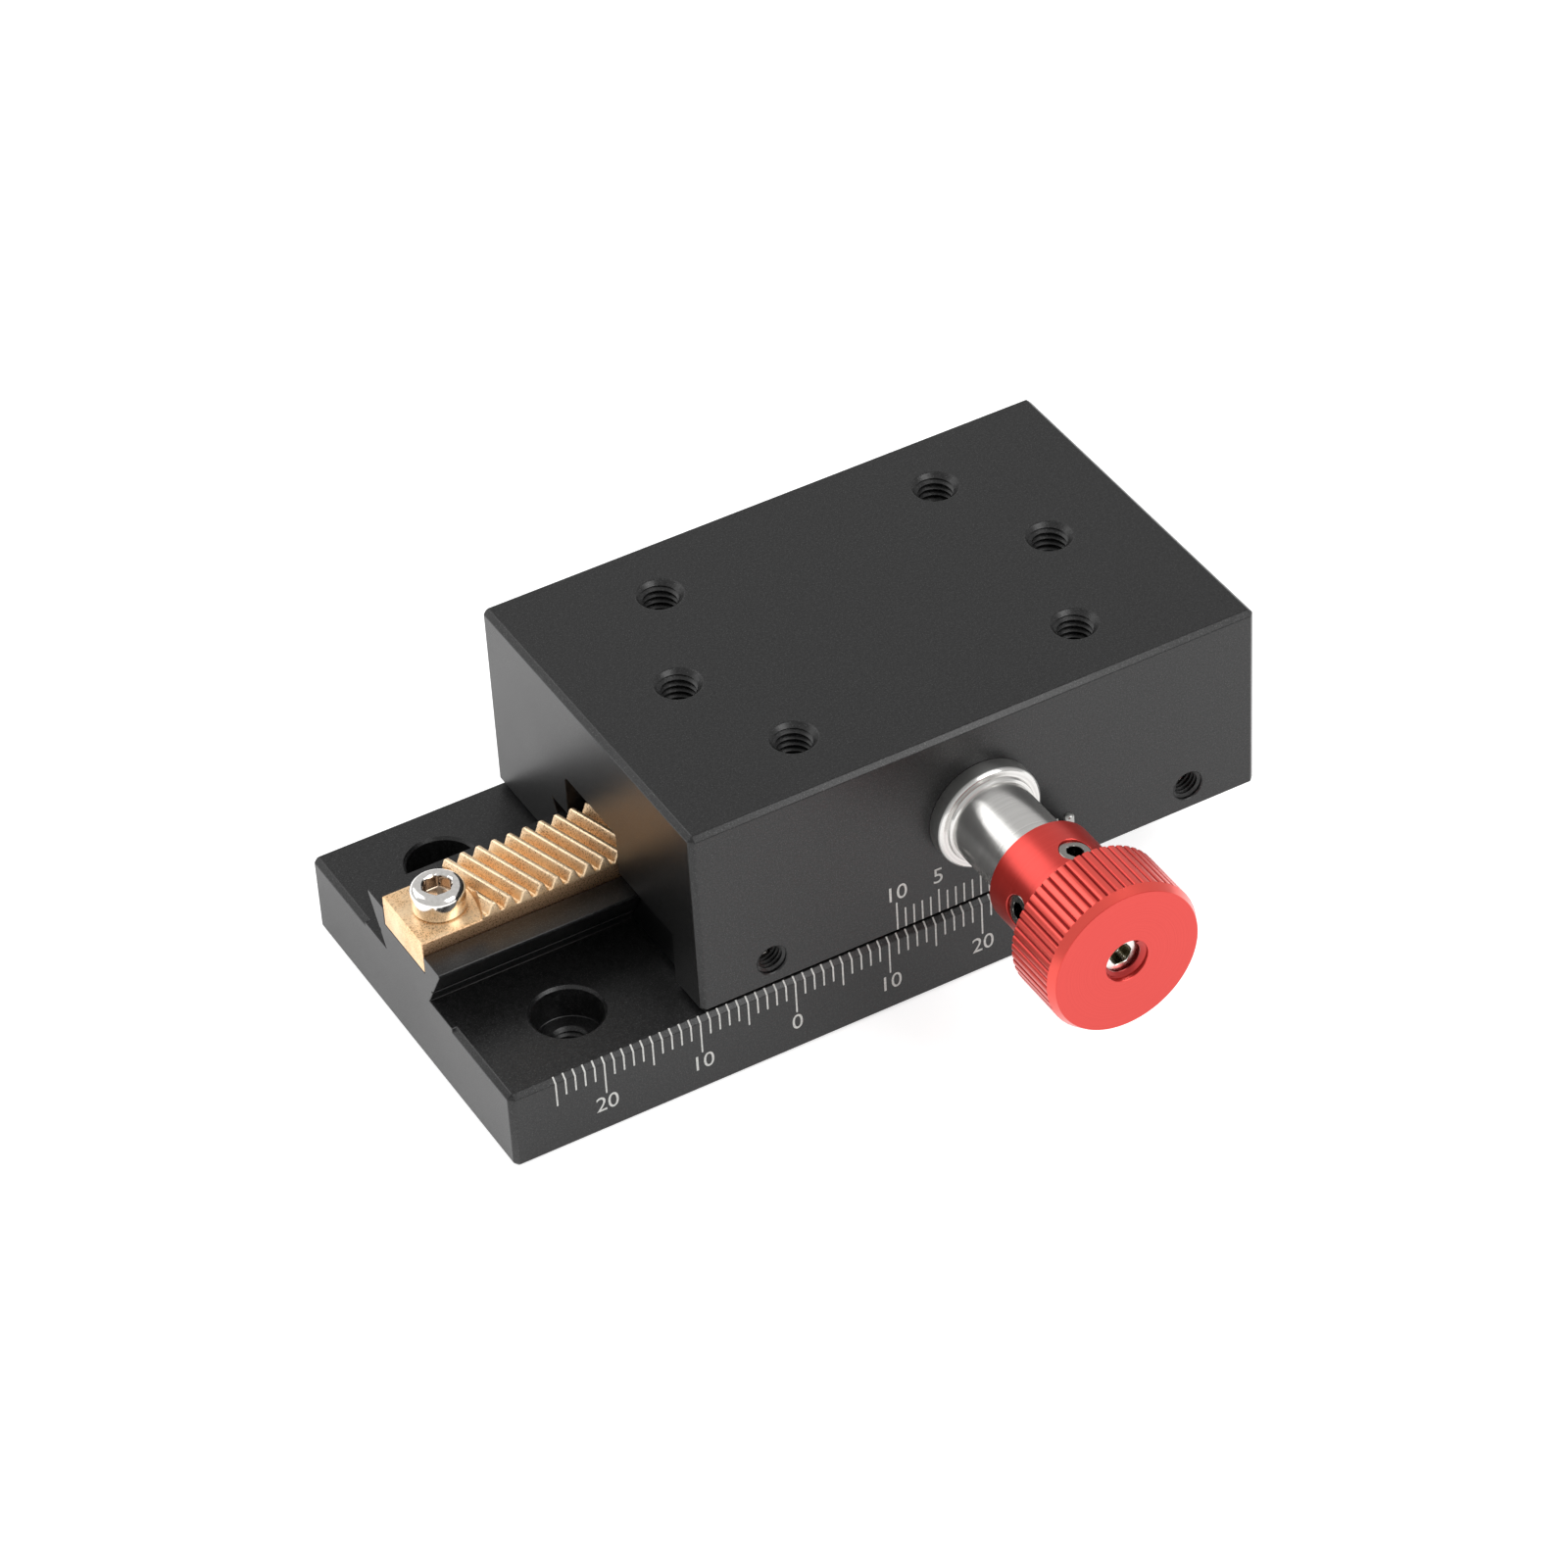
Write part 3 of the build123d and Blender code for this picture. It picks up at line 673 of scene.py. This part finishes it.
def cut_table():
    """The mouths of the table's side holes, and the threads of its top holes."""
    mouths = [edge_cone(place, inward, side_hole_radius, side_break) for place in side_places]
    cut("table", "cut_side_mouths", mouths)
    starts = pattern("table_top_holes", top_thread_start) + pattern("table_top_line", top_thread_start)
    cut("table", "cut_top_threads", [screw_form(start, down, **top_thread) for start in starts])


def cut_base():
    """The threads of the base's bolt holes, then the edges of their counterbores and bores."""
    starts = pattern("base_bolts", base_thread_start)
    cut("base", "cut_base_threads", [screw_form(start, down, **base_thread) for start in starts])
    tops, seats = pattern("base_bolts", base_top), pattern("base_bolts", counterbore_seat)
    rims = [edge_cone(place, down, counterbore_radius, rim_break) for place in tops]
    bores = [edge_cone(place, down, bolt_hole_radius, bore_break) for place in seats]
    cut("base", "cut_rims", rims + bores)


def cut_rack_screws():
    """The lead-in of the rack screws' sockets."""
    for name in ("rack_screw_left", "rack_screw_right"):
        place = middle_of(name)
        place.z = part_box(name)[1].z
        cut(name, "cut_" + name, [edge_cone(place, down, socket_lead_radius, socket_lead_break)])


def bush_fillet():
    """The fillet where the bush's nose leaves its flange."""
    count = len(fillet_profile)
    start = Vector((shaft.x, flange_front, shaft.z))
    corners, faces = [], []
    for step in range(fillet_steps):
        angle = 2 * pi * step / fillet_steps
        corners += [
            start + Vector((radius * cos(angle), -proud, radius * sin(angle))) * MM
            for radius, proud in fillet_profile
        ]
        here, there = step * count, (step + 1) % fillet_steps * count
        faces += [(here + k, there + k, there + k + 1, here + k + 1) for k in range(count - 1)]
    made = mesh_object("bush_fillet", corners, faces)
    dress(made, finishes["turned_steel"], "table")
    smooth(made)


def thread_ridges():
    """The threads that show in the table's side holes and in the knob's mouth."""
    for side, place in zip(("left", "right"), side_places):
        made = mesh_object(f"side_thread_{side}", *ridge(place, inward, **side_ridge))
        dress(made, finishes["black_anodised"], "table")
        smooth(made)
    place = Vector((shaft.x, knob_face + mouth_ridge_depth, shaft.z))
    made = mesh_object("knob_mouth_thread", *ridge(place, inward, **mouth_ridge))
    dress(made, finishes["red_anodised"], "knob")
    smooth(made)


def mark(x, start, bend, end):
    """Corners and faces of a mark: over the chamfer from start, past its bend, then down or up to end."""
    proud_y = front_y - mark_proud
    half = mark_width / 2
    way = 1 if end > bend else -1
    mitre = mark_proud * tan(radians(22.5))
    slant = mark_proud * 0.7  # along Y and along Z, off a chamfer at 45 degrees
    chamfer_y = front_y + abs(bend - start)
    tip = end - way * half
    corners = []
    for y, z in ((chamfer_y - slant, start - way * slant), (proud_y, bend - way * mitre), (proud_y, tip)):
        corners += [Vector((x - half, y, z)), Vector((x + half, y, z))]
    rounded = list(range(len(corners), len(corners) + mark_tip_steps - 1))
    for step in range(1, mark_tip_steps):
        angle = pi * step / mark_tip_steps
        corners.append(Vector((x - half * cos(angle), proud_y, tip + way * half * sin(angle))))
    return corners, [(0, 1, 3, 2), (2, 3, 5, 4), (4, *rounded, 5)]


def row_of_marks(name, forms, body):
    """One piece of all the marks in a row."""
    made = join_forms(name, forms)
    edit_faces(made, turn_to_front)
    dress(made, paint, body)


def length_class(number):
    return 10 if number % 10 == 0 else 5 if number % 5 == 0 else 1


def numeral(name, number, x, foot, body):
    """A number without its sign, standing on the front face and centred on x."""
    words = bpy.data.curves.new(name, "FONT")
    words.body = str(abs(number))
    words.align_x = "CENTER"
    words.size = 1.0
    maker = link(bpy.data.objects.new(name + "_maker", words))
    bpy.context.view_layer.update()
    mesh = bpy.data.meshes.new_from_object(maker)
    bpy.data.objects.remove(maker)
    scale = numeral_height / max(vertex.co.y for vertex in mesh.vertices)
    place = Matrix.Translation((x, front_y - mark_proud, foot))
    mesh.transform(place @ Matrix.Rotation(pi / 2, 4, "X") @ Matrix.Diagonal((scale, scale, scale, 1)))
    made = link(bpy.data.objects.new(name, mesh))
    made.data.materials.clear()
    dress(made, paint, body)


def scale_and_vernier():
    """The scale runs down from the base's top edge, the vernier up from the table's bottom edge."""
    scale = [
        mark(scale_zero + number * MM, base_top, base_top - edge_chamfer, mark_bottoms[length_class(number)])
        for number in range(-scale_reach, scale_reach + 1)
    ]
    row_of_marks("scale_marks", scale, "base")
    bend = table_underside + edge_chamfer
    vernier = [
        mark(vernier_zero + number * vernier_pitch, table_underside, bend, vernier_tops[length_class(number)])
        for number in range(-vernier_reach, vernier_reach + 1)
    ]
    row_of_marks("vernier_marks", vernier, "table")
    for number in scale_numerals:
        name = f"scale_numeral_{number - scale_numerals[0]}"
        numeral(name, number, scale_zero + number * MM, scale_numeral_foot, "base")
    for number in vernier_numerals:
        name = f"vernier_numeral_{number - vernier_numerals[0]}"
        numeral(name, number, vernier_zero + number * vernier_pitch, vernier_numeral_foot, "table")


def floor():
    """A pale floor that the camera and mirrors see as white, with the object's shadow kept."""
    signs = ((-1, -1), (1, -1), (1, 1), (-1, 1))
    corners = [Vector((sx * floor_reach, sy * floor_reach, 0)) for sx, sy in signs]
    made = mesh_object("floor", corners, [(0, 1, 2, 3)])
    material = bpy.data.materials.new("floor_white")
    material.use_nodes = True
    tree = material.node_tree
    tree.nodes.clear()
    rays = put(tree, "ShaderNodeLightPath")
    surface = put(tree, "ShaderNodeBsdfDiffuse", {"Color": floor_grey}).outputs[0]
    for ray in ("Is Camera Ray", "Is Glossy Ray"):
        glow = put(tree, "ShaderNodeEmission", {"Color": white, "Strength": floor_glow}).outputs[0]
        both = put(tree, "ShaderNodeAddShader", {0: surface, 1: glow}).outputs[0]
        surface = put(tree, "ShaderNodeMixShader", {0: rays.outputs[ray], 1: surface, 2: both}).outputs[0]
    put(tree, "ShaderNodeOutputMaterial", {"Surface": surface})
    made.data.materials.append(material)


def world_light():
    """Soft light from all round, which the camera sees as white."""
    world = bpy.data.worlds.new("studio")
    bpy.context.scene.world = world
    world.use_nodes = True
    tree = world.node_tree
    tree.nodes.clear()
    rays = put(tree, "ShaderNodeLightPath")
    soft = put(tree, "ShaderNodeBackground", {"Color": white, "Strength": world_strength}).outputs[0]
    seen = put(tree, "ShaderNodeBackground", {"Color": white, "Strength": 1.0}).outputs[0]
    pick = put(tree, "ShaderNodeMixShader", {0: rays.outputs["Is Camera Ray"], 1: soft, 2: seen}).outputs[0]
    put(tree, "ShaderNodeOutputWorld", {"Surface": pick})


def soft_box(name, place, width, power):
    """A square area light that faces the object."""
    light = bpy.data.lights.new(name, "AREA")
    light.shape = "SQUARE"
    light.size = width
    light.energy = power
    made = link(bpy.data.objects.new(name, light))
    made.location = place
    made.rotation_euler = (lit_point - place).to_track_quat("-Z", "Y").to_euler()


def camera():
    """The photograph's camera, from its angles, distance and offset."""
    level = Vector((cos(camera_azimuth), sin(camera_azimuth), 0))
    toward = Vector((sin(camera_azimuth), -cos(camera_azimuth), 0))
    away = toward * cos(camera_elevation) + up * sin(camera_elevation)
    upright = away.cross(level)
    across = cos(camera_roll) * level + sin(camera_roll) * upright
    over = cos(camera_roll) * upright - sin(camera_roll) * level
    data = bpy.data.cameras.new("camera")
    data.lens = focal_length
    data.sensor_width = sensor_width
    data.clip_start = camera_clip
    made = link(bpy.data.objects.new("camera", data))
    place = across * camera_aside.x + over * camera_aside.y + away * camera_back
    made.matrix_world = Matrix.Translation(place) @ Matrix((across, over, away)).transposed().to_4x4()
    bpy.context.scene.camera = made


dress_cad_nodes()
cut_table()
cut_base()
cut_rack_screws()
for node in frame["nodes"].values():
    smooth(node)
bush_fillet()
thread_ridges()
scale_and_vernier()
floor()
world_light()
for name, box in soft_boxes.items():
    soft_box(name, **box)
camera()
bpy.context.scene.view_settings.view_transform = "Standard"
